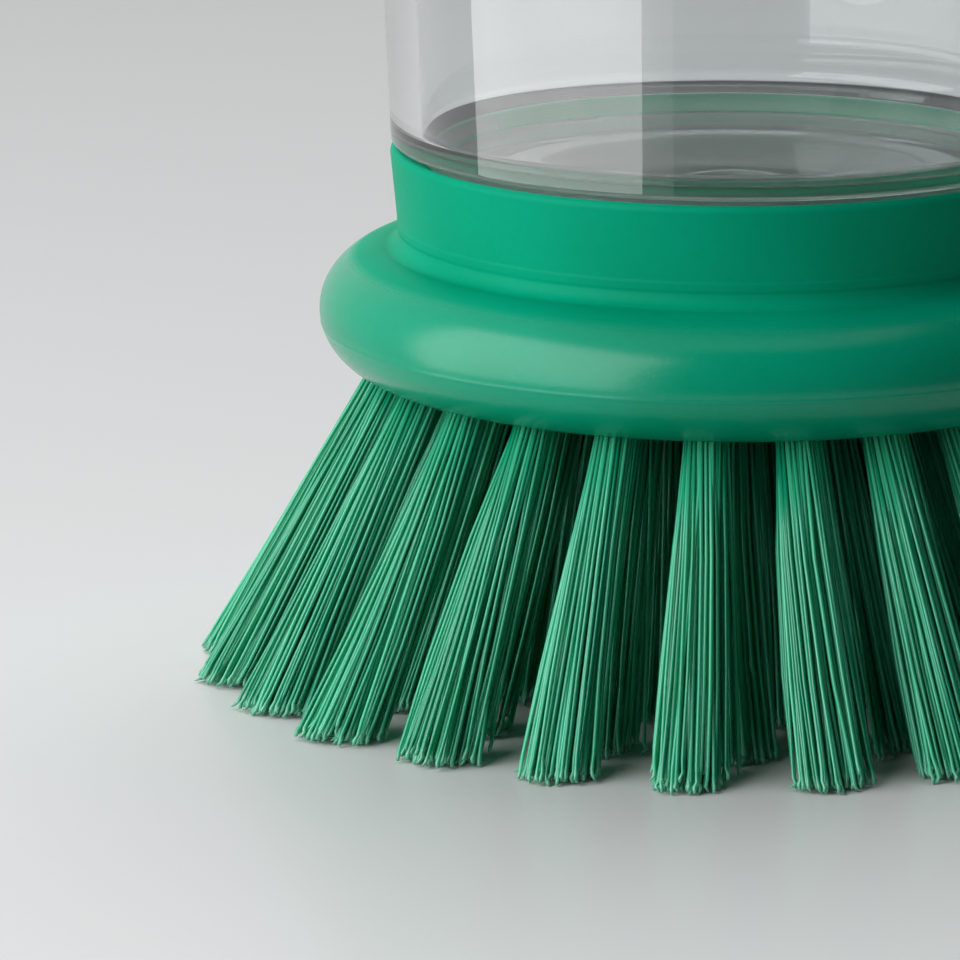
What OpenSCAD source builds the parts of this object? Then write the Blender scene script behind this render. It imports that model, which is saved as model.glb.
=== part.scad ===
// Soap-dispensing palm brush for dishes.
// A tufted head screws under a clear reservoir, and the lid carries a press button that works a small air pump.
// Sizes are millimetres. Z = 0 is the plane of the trimmed bristle tips, and +Z runs up through the button.

/* [Bristles] */
// Height of the head's underside above the bristle tips
trim_h = 23; // [16:0.5:30]
// Number of tufts in the outer ring
outer_count = 24; // [16:1:25]
// Number of tufts in the middle ring
middle_count = 18; // [12:1:20]
// Number of tufts in the inner ring
inner_count = 12; // [6:1:14]
// Radius of the outer ring of tufts, at the head's underside
outer_ring_r = 25.6; // [24.8:0.1:25.9]
// Distance between two rings of tufts
ring_pitch = 5.8; // [5.2:0.1:6]
// Lean of the outer tufts away from the axis, in degrees
outer_lean = 28.3; // [22:0.1:32]
// Lean of the middle tufts, in degrees
middle_lean = 24; // [14:1:26]
// Lean of the inner tufts, in degrees
inner_lean = 13; // [4:1:16]
// Angle of the first tuft from the X axis, in degrees
tuft_phase = 9.3; // [0:0.1:15]
// Radius of the drilled hole that holds a tuft
tuft_hole_r = 1.9; // [1.5:0.05:2]
// Radius of a tuft at its tips, where it has spread
tuft_tip_r = 3.1; // [2:0.1:3.3]
// Strands in a tuft of the outer ring, each standing for a bunch of filaments
outer_strands = 9; // [5:1:9]
// Strands in a tuft of the middle and inner rings
inner_strands = 7; // [4:1:9]
// Half width of a strand at its root
strand_root_r = 0.34; // [0.2:0.02:0.36]
// Half width of a strand at its tip
strand_tip_r = 0.7; // [0.2:0.02:0.72]
// Thickness of the slice of the head that carries a ring of tufts
slice_h = 2; // [1.2:0.1:3]
// Depth of a tuft hole, along the tuft
tuft_hole_depth = 5; // [4.8:0.1:6.6]
// Length of the flat wire that anchors a folded tuft
anchor_l = 3.4; // [2:0.1:3.5]
// Thickness of the anchor wire
anchor_t = 0.4; // [0.3:0.05:0.6]
// Height of the anchor along the tuft hole
anchor_h = 1.6; // [1:0.1:1.8]

/* [Brush head] */
// Radius of the collar at its rim
collar_r = 26; // [25.8:0.1:27]
// Inward slope of the collar below its rim, in degrees
collar_draft = 4.5; // [0:0.5:5]
// Height of the collar rim above the middle of the bead
collar_h = 12.55; // [11.5:0.05:16]
// Distance of the middle of the bead's section outside the outer ring of tufts
bead_offset = 0.2; // [-0.2:0.1:1]
// Half width of the bead, measured outwards
bead_half_w = 5.6; // [4:0.1:8]
// Height of the bead
bead_h = 9.7; // [8.6:0.1:11]
// Fillet where the collar meets the bead
collar_fillet = 1.2; // [0.6:0.1:2]
// Wall of the collar at its rim
collar_wall = 2.5; // [2:0.1:2.8]
// Thickness of the head between its underside and the socket's floor
block_h = 8.9; // [8.4:0.1:10]
// Radius of the hole that the soap leaves by
nozzle_r = 6; // [4:0.1:6.6]
// Thickness of the ledge that the valve sits on
nozzle_ledge = 1.6; // [1:0.1:2.4]

/* [Slit valve] */
// Radius of the valve's flange
valve_r = 8.6; // [7.6:0.1:8.8]
// Thickness of the valve's flange
valve_flange_h = 1.6; // [1:0.1:2]
// Thickness of the valve's thin domed skin
valve_skin = 0.8; // [0.5:0.1:1]
// Rise of the dome
valve_rise = 1.1; // [0.4:0.1:1.6]
// Length of each of the two crossed slits
slit_l = 6; // [2:0.5:8]
// Width of a slit, slightly open
slit_w = 0.2; // [0.15:0.05:0.4]
// Height of the retaining ring that stands over the flange
valve_ring_h = 8; // [7.4:0.1:8.4]

/* [Reservoir] */
// Radius of the reservoir at its foot, just above the collar
tank_r = 25.94; // [25.5:0.02:27]
// Outward slope of the reservoir's outside, in degrees
tank_draft = 3; // [0:0.25:4]
// Height of the reservoir's visible wall
tank_h = 41.3; // [30:0.1:60]
// Thickness of the reservoir's wall at its foot
tank_wall = 2.5; // [2:0.1:3]
// Outward slope of the reservoir's inside, in degrees
cavity_draft = 2.2; // [0:0.1:2.6]
// Thickness of the reservoir's floor
floor_t = 2.4; // [1.6:0.1:3]
// Wall of the reservoir between its floor and its foot, inside the collar
well_wall = 1.5; // [1.2:0.1:2]
// Height of the well's straight wall above the reservoir's foot
well_rise = 0.4; // [0.2:0.1:1]
// Height of the flare from the well out to the reservoir's wall
flare_h = 2; // [1.6:0.1:3]
// Radius of the fillet between the floor and the wall, inside
floor_fillet = 1; // [0.6:0.1:1.6]
// Length of the spigot below the reservoir's foot
spigot_l = 8.2; // [6.5:0.1:8.4]
// Wall of the spigot
spigot_wall = 2.4; // [1.6:0.1:3]
// Radius of the port through the floor
port_r = 3; // [2:0.1:3.6]
// Wall of the spout under the port
spout_wall = 2; // [1.2:0.1:2.4]
// Length of the spout below the floor
spout_l = 5; // [3:0.1:6]
// Height of the lip around the port, on the floor
port_lip_h = 0.5; // [0.2:0.1:1]
// Thickness of the gasket under the floor, round the spout
port_gasket_h = 1.6; // [1:0.1:2]
// Height of the neck that the lid screws on to
neck_h = 8; // [6:0.1:10]
// Step from the reservoir's outside to the neck
neck_step = 0.9; // [0.6:0.1:1.2]

/* [Lid] */
// Thickness of the gasket on the neck's rim
lid_gasket_h = 1.2; // [0.8:0.1:2]
// Wall of the lid's skirt at its foot
skirt_wall = 2.3; // [1.8:0.1:3.2]
// Rise of the lid's dome above the gasket
dome_h = 6.8; // [6:0.1:9]
// Radius of the opening for the button
button_hole_r = 13.9; // [12.5:0.1:15]
// Thickness of the lid's deck round the button
deck_t = 2.5; // [2:0.1:3]
// Depth of the snap wall that holds the pump barrel
snap_h = 2.4; // [2:0.1:3.4]

/* [Air pump] */
// Travel of the button
button_travel = 4; // [2:0.1:4.4]
// Height of the button's crown above the lid
button_proud = 0.8; // [0.2:0.1:3]
// Crown of the button's top
button_crown = 0.9; // [0.2:0.1:1.4]
// Thickness of the flange that keeps the button in
button_flange_h = 1.5; // [1:0.1:2]
// Bore that the piston slides in
barrel_bore_r = 12; // [10:0.1:12.4]
// Wall of the pump barrel
barrel_wall = 1.6; // [1.2:0.1:2]
// Thickness of the barrel's floor
barrel_floor_t = 1.5; // [1:0.1:2.5]
// Length of the piston below its flange
piston_l = 8; // [7:0.1:10]
// Wall of the piston
piston_wall = 1.8; // [1.4:0.1:2.4]
// Width of the piston's seal ring, along the bore
seal_h = 1.6; // [1:0.1:2]
// Depth of the groove for the seal ring
seal_depth = 0.7; // [0.4:0.1:0.9]
// Radius of an air hole in the barrel's floor
vent_r = 1.2; // [0.6:0.1:1.6]
// Number of air holes in the barrel's floor
vent_count = 4; // [1:1:6]
// Diameter of the spring's wire
spring_wire = 1; // [0.6:0.1:1.2]
// Turns of the return spring
spring_turns = 6; // [3:0.5:7]

/* [Fits] */
// Gap between threaded or sliding plastic parts, on the radius
slide_gap = 0.3; // [0.15:0.05:0.5]
// Gap between parts that stop against each other
stop_gap = 0.2; // [0.1:0.05:0.4]
// Gap between a seal ring and the wall that it runs on
seal_gap = 0.05; // [0.02:0.01:0.1]
// Visible gap between the collar's rim and the reservoir's foot
seat_gap = 0.3; // [0.1:0.1:1]

/* [Hidden] */
$fn = 96;
edge_r = 0.5;
arc_steps = 6;
bead_steps = 30;
slice_steps = 2;
dome_steps = 14;

// Heights in the head
underside_z = trim_h;
slice_top_z = underside_z + slice_h;
bead_z = underside_z + bead_h / 2;
rim_z = bead_z + collar_h;
socket_floor_z = underside_z + block_h;
ledge_z = underside_z + nozzle_ledge;

// Radii in the head
bead_r = outer_ring_r + bead_offset;
socket_r = collar_r - collar_wall;
pocket_r = valve_r + stop_gap;
boss_r = pocket_r + 0.8;
slice_r = outer_ring_r + tuft_hole_r / cos(outer_lean) + 0.6;

// The middle of the collar's foot, where the fillet leaves the bead
fillet_foot_r = collar_r - (collar_h - bead_h / 2) * tan(collar_draft) + collar_fillet;
fillet_foot_a = acos((fillet_foot_r - bead_r) / bead_half_w);
fillet_foot_z = bead_z + bead_h / 2 * sin(fillet_foot_a);
slice_edge_a = acos((slice_r - bead_r) / bead_half_w);

// Each ring of tufts: radius, tufts, lean, strands in a tuft, inner and outer edge of its slice
middle_ring_r = outer_ring_r - ring_pitch;
inner_ring_r = middle_ring_r - ring_pitch;
ring_edge_1 = middle_ring_r + ring_pitch / 2;
ring_edge_2 = inner_ring_r + ring_pitch / 2;
RADIUS = 0;
COUNT = 1;
LEAN = 2;
STRANDS = 3;
EDGE_IN = 4;
EDGE_OUT = 5;
outer_ring = [outer_ring_r, outer_count, outer_lean, outer_strands, ring_edge_1, slice_r];
middle_ring = [middle_ring_r, middle_count, middle_lean, inner_strands, ring_edge_2, ring_edge_1];
inner_ring = [inner_ring_r, inner_count, inner_lean, inner_strands, boss_r, ring_edge_2];
rings = [outer_ring, middle_ring, inner_ring];
golden_angle = 137.508;
strand_sides = 4;
strand_embed = 0.8;

// Heights in the valve and the reservoir
valve_ring_z = ledge_z + valve_flange_h;
port_gasket_z = valve_ring_z + valve_ring_h;
floor_under_z = port_gasket_z + port_gasket_h;
foot_z = rim_z + seat_gap;
floor_z = floor_under_z + floor_t;
spigot_r = socket_r - slide_gap;
spout_r = port_r + spout_wall;
shoulder_z = foot_z + tank_h;
neck_top_z = shoulder_z + neck_h;
shoulder_r = tank_r + tank_h * tan(tank_draft);
neck_r = shoulder_r - neck_step;
well_r = spigot_r - well_wall;
flare_z = foot_z + well_rise;
cavity_foot_r = tank_r - tank_wall + (flare_z + flare_h - foot_z) * tan(cavity_draft);
mouth_r = cavity_foot_r + (neck_top_z - flare_z - flare_h) * tan(cavity_draft);

// Heights and radii in the lid
lid_foot_z = shoulder_z + 2 * slide_gap;
deck_under_z = neck_top_z + lid_gasket_h;
lid_top_z = deck_under_z + dome_h;
hole_under_z = lid_top_z - deck_t;
skirt_in_r = neck_r + slide_gap;
skirt_out_r = skirt_in_r + skirt_wall;

// Heights and radii in the air pump
button_r = button_hole_r - slide_gap;
flange_r = button_hole_r + 1;
flange_top_z = hole_under_z - stop_gap;
flange_under_z = flange_top_z - button_flange_h;
button_top_z = lid_top_z + button_proud;
barrel_step_z = flange_under_z - button_travel - stop_gap;
barrel_head_r = flange_r + slide_gap;
barrel_out_r = barrel_head_r + barrel_wall;
piston_r = barrel_bore_r - slide_gap;
piston_end_z = flange_under_z - piston_l;
barrel_floor_z = piston_end_z - button_travel - stop_gap;
recess_r = barrel_out_r + stop_gap;
barrel_flange_r = recess_r + 2;
snap_wall_r = barrel_flange_r + stop_gap;
seal_z = piston_end_z + 0.8;
spring_r = piston_r - piston_wall - spring_wire / 2 - slide_gap;
spring_end_z = hole_under_z;

green = "#06A070";
deep_green = "#058F62";
clear = [0.86, 0.88, 0.89, 0.35];
steel = "#B9BCBE";
silicone = "#DADDDC";
white = "#EDEEEC";

// Points on an arc of an ellipse, from angle a0 to angle a1
function arc(cx, cy, rx, ry, a0, a1, steps) =
    [for (i = [0:steps]) let (a = a0 + (a1 - a0) * i / steps) [cx + rx * cos(a), cy + ry * sin(a)]];

// The spread of n strands over a round tuft, as a sunflower head spreads its seeds
function seed(i, n) = let (rho = sqrt((i + 0.5) / n)) [rho * cos(i * golden_angle), rho * sin(i * golden_angle)];

// Middle of strand i of a ring's tuft at height z, seen from the tuft's own radius: outwards, then sideways
function strand_at(ring, i, z) =
    let (
        s = seed(i, ring[STRANDS]),
        root = [ring[RADIUS] + s[0] * (tuft_hole_r - strand_root_r) / cos(ring[LEAN]),
                s[1] * (tuft_hole_r - strand_root_r)],
        tip = [ring[RADIUS] + trim_h * tan(ring[LEAN]) + s[0] * tuft_tip_r, s[1] * tuft_tip_r]
    )
    tip + (root - tip) * z / trim_h;

// The corners of one strand's section at height z, turned with its tuft
function strand_section(ring, tuft, i, z, half_w) =
    let (c = strand_at(ring, i, z), turn = tuft_phase + 360 * tuft / ring[COUNT])
    [for (k = [0:strand_sides - 1])
        let (a = 45 + 360 * k / strand_sides, x = c[0] + half_w * cos(a), y = c[1] + half_w * sin(a))
        [x * cos(turn) - y * sin(turn), x * sin(turn) + y * cos(turn), z]];

// All strands of a ring as one set of closed prisms with flat, level ends
module strands(ring) {
    top_z = trim_h + strand_embed;
    per_strand = 2 * strand_sides;
    points = [
        for (tuft = [0:ring[COUNT] - 1], i = [0:ring[STRANDS] - 1])
            each concat(
                strand_section(ring, tuft, i, 0, strand_tip_r),
                strand_section(ring, tuft, i, top_z, strand_root_r)
            )
    ];
    faces = [
        for (n = [0:ring[COUNT] * ring[STRANDS] - 1]) let (b = n * per_strand, t = b + strand_sides)
            each concat(
                [for (k = [0:strand_sides - 1]) let (m = (k + 1) % strand_sides) [b + k, t + k, b + m]],
                [for (k = [0:strand_sides - 1]) let (m = (k + 1) % strand_sides) [b + m, t + k, t + m]],
                [[b, b + 1, b + 2], [b, b + 2, b + 3], [t, t + 2, t + 1], [t, t + 3, t + 2]]
            )
    ];
    polyhedron(points, faces);
}

// Puts a child in every tuft hole of a ring, with +Z pointing up along the hole from the underside
module at_tufts(ring) {
    for (tuft = [0:ring[COUNT] - 1])
        rotate([0, 0, tuft_phase + 360 * tuft / ring[COUNT]])
            translate([ring[RADIUS], 0, underside_z])
                rotate([0, -ring[LEAN], 0])
                    children();
}

// A ring of tufts: the slice of the head that they stand in, and their strands
module bristles(ring) {
    union() {
        rotate_extrude()
            polygon(concat(
                [[ring[EDGE_OUT], slice_top_z], [ring[EDGE_IN], slice_top_z], [ring[EDGE_IN], underside_z]],
                ring[EDGE_OUT] <= bead_r ? [[ring[EDGE_OUT], underside_z]]
                    : arc(bead_r, bead_z, bead_half_w, bead_h / 2, -90, -slice_edge_a, slice_steps)
            ));
        strands(ring);
    }
}

module outer_bristles() {
    color(green) bristles(outer_ring);
}

module middle_bristles() {
    color(deep_green) bristles(middle_ring);
}

module inner_bristles() {
    color(deep_green) bristles(inner_ring);
}

// The flat wires across the folds of the tufts, at the bottoms of their holes
module tuft_anchors() {
    color(steel)
        for (ring = rings)
            at_tufts(ring)
                translate([-anchor_t / 2, -anchor_l / 2, tuft_hole_depth - anchor_h])
                    cube([anchor_t, anchor_l, anchor_h]);
}

// Collar, bead and tuft block in one moulding
module brush_head() {
    color(green)
        difference() {
            rotate_extrude()
                polygon(concat(
                    [[nozzle_r, underside_z], [boss_r, underside_z], [boss_r, slice_top_z], [slice_r, slice_top_z]],
                    arc(bead_r, bead_z, bead_half_w, bead_h / 2, -slice_edge_a, fillet_foot_a, bead_steps),
                    arc(fillet_foot_r, fillet_foot_z + collar_fillet, collar_fillet, collar_fillet, 270, 180,
                        arc_steps),
                    arc(collar_r - edge_r, rim_z - edge_r, edge_r, edge_r, 0, 90, arc_steps),
                    [[socket_r, rim_z], [socket_r, socket_floor_z], [pocket_r, socket_floor_z],
                     [pocket_r, ledge_z], [nozzle_r, ledge_z]]
                ));
            for (ring = rings)
                at_tufts(ring)
                    cylinder(r = tuft_hole_r, h = tuft_hole_depth, $fn = 24);
        }
}

// Silicone valve: a clamped flange and a thin dome with two crossed slits
module slit_valve() {
    skin_r = nozzle_r - stop_gap;
    foot_z = ledge_z + 0.2;
    color(silicone)
        difference() {
            rotate_extrude()
                polygon(concat(
                    [for (i = [0:dome_steps]) let (r = skin_r * i / dome_steps)
                        [r, foot_z + valve_rise * (1 - pow(r / skin_r, 2))]],
                    [[skin_r, ledge_z], [valve_r, ledge_z], [valve_r, valve_ring_z], [skin_r, valve_ring_z]],
                    [for (i = [dome_steps - 1:-1:0]) let (r = skin_r * i / dome_steps)
                        [r, foot_z + valve_skin + valve_rise * (1 - pow(r / skin_r, 2))]]
                ));
            for (turn = [45, 135])
                rotate([0, 0, turn])
                    translate([-slit_l / 2, -slit_w / 2, underside_z])
                        cube([slit_l, slit_w, block_h]);
        }
}

// Ring that clamps the valve's flange and guides the spout
module valve_ring() {
    color(deep_green)
        translate([0, 0, valve_ring_z])
            difference() {
                cylinder(r = valve_r, h = valve_ring_h);
                translate([0, 0, -1]) cylinder(r = spout_r + slide_gap, h = valve_ring_h + 2);
            }
}

module port_gasket() {
    color(deep_green)
        translate([0, 0, port_gasket_z])
            difference() {
                cylinder(r = valve_r, h = port_gasket_h);
                translate([0, 0, -1]) cylinder(r = spout_r + slide_gap, h = port_gasket_h + 2);
            }
}

// Clear cup with a floor, a spout under its port, a spigot for the collar and a neck for the lid
module reservoir() {
    lip_r = port_r + 1.2;
    lip_z = floor_z + port_lip_h;
    color(clear)
        rotate_extrude()
            polygon(concat(
                [[port_r, floor_under_z - spout_l], [spout_r, floor_under_z - spout_l], [spout_r, floor_under_z],
                 [spigot_r - spigot_wall, floor_under_z], [spigot_r - spigot_wall, foot_z - spigot_l],
                 [spigot_r, foot_z - spigot_l], [spigot_r, foot_z]],
                arc(tank_r - edge_r, foot_z + edge_r, edge_r, edge_r, -90, 0, arc_steps),
                arc(shoulder_r - edge_r, shoulder_z - edge_r, edge_r, edge_r, 0, 90, arc_steps),
                [[neck_r, shoulder_z]],
                arc(neck_r - edge_r, neck_top_z - edge_r, edge_r, edge_r, 0, 90, arc_steps),
                [[mouth_r, neck_top_z], [cavity_foot_r, flare_z + flare_h], [well_r, flare_z]],
                arc(well_r - floor_fillet, floor_z + floor_fillet, floor_fillet, floor_fillet, 0, -90, arc_steps),
                [[lip_r, floor_z]],
                arc(lip_r - port_lip_h / 2, lip_z - port_lip_h / 2, port_lip_h / 2, port_lip_h / 2, 0, 90, arc_steps),
                [[port_r, lip_z - port_lip_h / 2]]
            ));
}

module lid_gasket() {
    color(silicone)
        translate([0, 0, neck_top_z])
            difference() {
                cylinder(r = neck_r - edge_r, h = lid_gasket_h);
                translate([0, 0, -1]) cylinder(r = mouth_r, h = lid_gasket_h + 2);
            }
}

// Domed screw lid with an opening for the button and a snap wall for the pump barrel
module lid() {
    snap_z = deck_under_z - snap_h;
    color(green)
        rotate_extrude()
            polygon(concat(
                [[button_hole_r, hole_under_z], [recess_r, hole_under_z], [recess_r, deck_under_z],
                 [snap_wall_r, deck_under_z], [snap_wall_r, snap_z + 0.9], [snap_wall_r - 0.5, snap_z + 0.9],
                 [snap_wall_r - 0.5, snap_z + 0.5], [snap_wall_r, snap_z], [snap_wall_r + 1.4, snap_z],
                 [snap_wall_r + 1.4, deck_under_z], [skirt_in_r, deck_under_z], [skirt_in_r, lid_foot_z]],
                arc(skirt_out_r - edge_r, lid_foot_z + edge_r, edge_r, edge_r, -90, 0, arc_steps),
                arc(button_hole_r + edge_r, deck_under_z, skirt_out_r - button_hole_r - edge_r, dome_h, 0, 90,
                    dome_steps),
                arc(button_hole_r + edge_r, lid_top_z - edge_r, edge_r, edge_r, 90, 180, arc_steps)
            ));
}

// Cylinder that the button's piston works in, snapped under the lid
module pump_barrel() {
    floor_under = barrel_floor_z - barrel_floor_t;
    flange_z = deck_under_z - snap_h + 0.9 + stop_gap;
    low_r = barrel_bore_r + barrel_wall;
    color(white)
        difference() {
            rotate_extrude()
                polygon([
                    [0, floor_under], [low_r, floor_under], [low_r, barrel_step_z - barrel_wall],
                    [barrel_out_r, barrel_step_z - barrel_wall], [barrel_out_r, flange_z],
                    [barrel_flange_r, flange_z], [barrel_flange_r, deck_under_z], [barrel_out_r, deck_under_z],
                    [barrel_out_r, hole_under_z - stop_gap], [barrel_head_r, hole_under_z - stop_gap],
                    [barrel_head_r, barrel_step_z], [barrel_bore_r, barrel_step_z],
                    [barrel_bore_r, barrel_floor_z], [0, barrel_floor_z]
                ]);
            for (i = [0:vent_count - 1])
                rotate([0, 0, 360 * i / vent_count])
                    translate([spring_r - spring_wire / 2 - vent_r - 0.4, 0, floor_under - 1])
                        cylinder(r = vent_r, h = barrel_floor_t + 2, $fn = 24);
        }
}

// Button with its crown, stop flange and hollow piston
module push_button() {
    crown_z = button_top_z - button_crown;
    groove_r = piston_r - seal_depth;
    hollow_r = piston_r - piston_wall;
    color(green)
        rotate_extrude()
            polygon(concat(
                [[0, hole_under_z], [hollow_r, hole_under_z], [hollow_r, piston_end_z], [piston_r, piston_end_z],
                 [piston_r, seal_z], [groove_r, seal_z], [groove_r, seal_z + seal_h], [piston_r, seal_z + seal_h],
                 [piston_r, flange_under_z], [flange_r, flange_under_z], [flange_r, flange_top_z],
                 [button_r, flange_top_z]],
                arc(button_r - edge_r, crown_z - edge_r, edge_r, edge_r, 0, 70, arc_steps),
                [for (i = [dome_steps - 1:-1:0]) let (r = (button_r - 2 * edge_r) * i / dome_steps)
                    [r, button_top_z - button_crown * pow(r / button_r, 2)]]
            ));
}

module piston_ring() {
    color(silicone)
        translate([0, 0, seal_z + seal_gap])
            difference() {
                cylinder(r = barrel_bore_r - seal_gap, h = seal_h - 2 * seal_gap);
                translate([0, 0, -1]) cylinder(r = piston_r - seal_depth + seal_gap, h = seal_h + 2);
            }
}

// A wire swept along a helix with flat, closed end turns
module return_spring() {
    rings_per_turn = 20;
    wire_sides = 6;
    wire_r = spring_wire / 2;
    low_z = barrel_floor_z + wire_r + seal_gap;
    high_z = spring_end_z - wire_r - seal_gap;
    steps = ceil(spring_turns * rings_per_turn);
    closed = 0.75 / spring_turns;
    pitch_z = spring_wire * 0.8;
    function climb(u) = max(0, min(1, (u - closed) / (1 - 2 * closed)));
    function ease(u) = u < closed ? pitch_z * u / closed
        : u > 1 - closed ? high_z - low_z - pitch_z * (1 - u) / closed
        : pitch_z + (high_z - low_z - 2 * pitch_z) * climb(u);
    points = [
        for (s = [0:steps], k = [0:wire_sides - 1])
            let (turn = 360 * spring_turns * s / steps, a = 360 * k / wire_sides, r = spring_r + wire_r * cos(a))
            [r * cos(turn), r * sin(turn), low_z + ease(s / steps) + wire_r * sin(a)]
    ];
    last = steps * wire_sides;
    faces = concat(
        [for (s = [0:steps - 1], k = [0:wire_sides - 1])
            let (a = s * wire_sides + k, b = s * wire_sides + (k + 1) % wire_sides)
            each [[a, b, a + wire_sides], [b, b + wire_sides, a + wire_sides]]],
        [for (k = [1:wire_sides - 2]) [0, k + 1, k]],
        [for (k = [1:wire_sides - 2]) [last, last + k, last + k + 1]]
    );
    color(steel) polyhedron(points, faces);
}

brush_head();
outer_bristles();
middle_bristles();
inner_bristles();
tuft_anchors();
slit_valve();
valve_ring();
port_gasket();
reservoir();
lid_gasket();
lid();
pump_barrel();
push_button();
piston_ring();
return_spring();
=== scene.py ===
"""Soap-dispensing palm brush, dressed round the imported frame.

Lengths whose name ends in _mm, and every profile below, are in millimetres. Everything else is in metres.
The brush stands on the trimmed tips of its filaments at z = 0, with its axis on Z.
"""

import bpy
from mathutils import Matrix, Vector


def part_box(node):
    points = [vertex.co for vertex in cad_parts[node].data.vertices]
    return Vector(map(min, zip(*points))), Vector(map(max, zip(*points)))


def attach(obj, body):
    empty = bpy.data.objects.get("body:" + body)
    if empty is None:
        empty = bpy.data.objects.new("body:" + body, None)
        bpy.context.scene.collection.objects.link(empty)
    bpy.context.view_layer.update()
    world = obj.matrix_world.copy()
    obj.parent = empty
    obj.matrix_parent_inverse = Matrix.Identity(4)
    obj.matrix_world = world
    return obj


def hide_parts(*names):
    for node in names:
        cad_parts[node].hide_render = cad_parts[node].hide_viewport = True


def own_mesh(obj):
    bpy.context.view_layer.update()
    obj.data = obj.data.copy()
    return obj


bl_info = {
    "name": "Palm Dish Brush",
    "version": (1, 0, 0),
    "blender": (4, 5, 0),
    "location": "3D View > Sidebar > Palm Brush",
    "description": "Builds the visible surfaces and materials of a soap-dispensing palm brush",
    "category": "Object",
}

import math

import bpy
import numpy as np
from bpy.props import FloatProperty, FloatVectorProperty, IntProperty, PointerProperty

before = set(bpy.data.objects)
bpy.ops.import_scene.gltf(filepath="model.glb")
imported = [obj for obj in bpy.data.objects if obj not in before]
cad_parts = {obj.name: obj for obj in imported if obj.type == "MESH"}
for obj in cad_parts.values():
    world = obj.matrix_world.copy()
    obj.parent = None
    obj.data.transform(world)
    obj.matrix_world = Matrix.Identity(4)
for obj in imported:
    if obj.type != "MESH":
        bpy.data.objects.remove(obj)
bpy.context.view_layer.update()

MM = 0.001
TURN = 2 * math.pi
GOLDEN_ANGLE = math.radians(137.508)

# A Mix node's colour sockets share their names with its value sockets, so they go by number
COLOUR_A, COLOUR_B, COLOUR_OUT = 6, 7, 2


def node_z(node, end):
    """Lowest (end 0) or highest (end 1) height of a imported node, in millimetres."""
    return float(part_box(node)[end][2]) / MM


UNDERSIDE_Z = node_z("brush_head", 0)
RIM_Z = node_z("brush_head", 1)
NECK_TOP_Z = node_z("reservoir", 1)
LID_FOOT_Z = node_z("lid", 0)
BUTTON_TOP_Z = node_z("push_button", 1)

# Inside radius of the reservoir's mouth, which the gasket on its rim follows
MOUTH_R = 25.43
# Height to which the mould of the head was polished, just above the middle of the bead
POLISH_Z = 31.6
# Share of a filament's length where its cut end begins to show
CUT_FROM = 0.955


def linear(code, alpha=1.0):
    """An sRGB hex colour as linear RGBA."""
    srgb = np.array([int(code[i : i + 2], 16) for i in (1, 3, 5)]) / 255
    rgb = np.where(srgb <= 0.04045, srgb / 12.92, ((srgb + 0.055) / 1.055) ** 2.4)
    return (*map(float, rgb), alpha)


def per_mm(size_mm):
    """Scale of a texture on Object coordinates whose features are that many millimetres across."""
    return 1 / (size_mm * MM)


# Materials


def blank(name):
    """A material with an empty node tree."""
    made = bpy.data.materials.new(name)
    made.use_nodes = True
    made.node_tree.nodes.clear()
    return made


def add(owner, kind, settings=None, links=None):
    """Adds a node to a material or world: settings holds its attributes and socket values, links what feeds it."""
    made = owner.node_tree.nodes.new(kind)
    for key, value in (settings or {}).items():
        if isinstance(key, str) and hasattr(made, key):
            setattr(made, key, value)
        else:
            made.inputs[key].default_value = value
    for key, source in (links or {}).items():
        owner.node_tree.links.new(source, made.inputs[key])
    return made


def surface(material, shader):
    """Ends a material's tree with its shader."""
    add(material, "ShaderNodeOutputMaterial", links={"Surface": shader})
    return material


def object_place(material, stretch=(1, 1, 1)):
    """Object coordinates, stretched along an axis where a pattern runs along the piece."""
    place = add(material, "ShaderNodeTexCoord").outputs["Object"]
    if tuple(stretch) == (1, 1, 1):
        return place
    return add(material, "ShaderNodeMapping", {"Scale": stretch}, {"Vector": place}).outputs["Vector"]


def grain(material, size_mm, detail=2.0, stretch=(1, 1, 1)):
    """Noise whose grains are that many millimetres across."""
    return add(
        material,
        "ShaderNodeTexNoise",
        {"Scale": per_mm(size_mm), "Detail": detail},
        {"Vector": object_place(material, stretch)},
    ).outputs["Fac"]


def attribute(material, name):
    """A value that the mesh holds at each point."""
    return add(material, "ShaderNodeAttribute", {"attribute_name": name}).outputs["Fac"]


def object_z(material):
    """Height of a point, in metres."""
    return add(material, "ShaderNodeSeparateXYZ", links={"Vector": object_place(material)}).outputs["Z"]


def backdrop_rays(owner):
    """1 on the rays that should see the pale background: the camera's, and those in reflections and clear plastic."""
    path = add(owner, "ShaderNodeLightPath")
    seen = path.outputs["Is Camera Ray"]
    for kind in ("Is Glossy Ray", "Is Transmission Ray"):
        seen = add(owner, "ShaderNodeMath", {"operation": "MAXIMUM"}, {0: seen, 1: path.outputs[kind]}).outputs[0]
    return seen


def span(material, value, to_low, to_high, low=0.3, high=0.7):
    """A value's range from low to high, carried to another range."""
    return add(
        material,
        "ShaderNodeMapRange",
        {"From Min": low, "From Max": high, "To Min": to_low, "To Max": to_high},
        {"Value": value},
    ).outputs["Result"]


def blend_values(material, first, second, share):
    """Two values mixed, with the second's share."""
    return add(
        material, "ShaderNodeMix", {"data_type": "FLOAT", "Factor": share}, {"A": first, "B": second}
    ).outputs["Result"]


def shades(material, value, *stops):
    """A colour for a value, from (position, hex) stops."""
    ramp = add(material, "ShaderNodeValToRGB", links={"Fac": value})
    elements = ramp.color_ramp.elements
    while len(elements) < len(stops):
        elements.new(0.5)
    for element, (position, code) in zip(elements, stops):
        element.position = position
        element.color = linear(code)
    return ramp.outputs["Color"]


def relief(material, height, depth_mm, strength=1.0):
    """A bump that real depth deep."""
    return add(
        material, "ShaderNodeBump", {"Strength": strength, "Distance": depth_mm * MM}, {"Height": height}
    ).outputs["Normal"]


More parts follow.
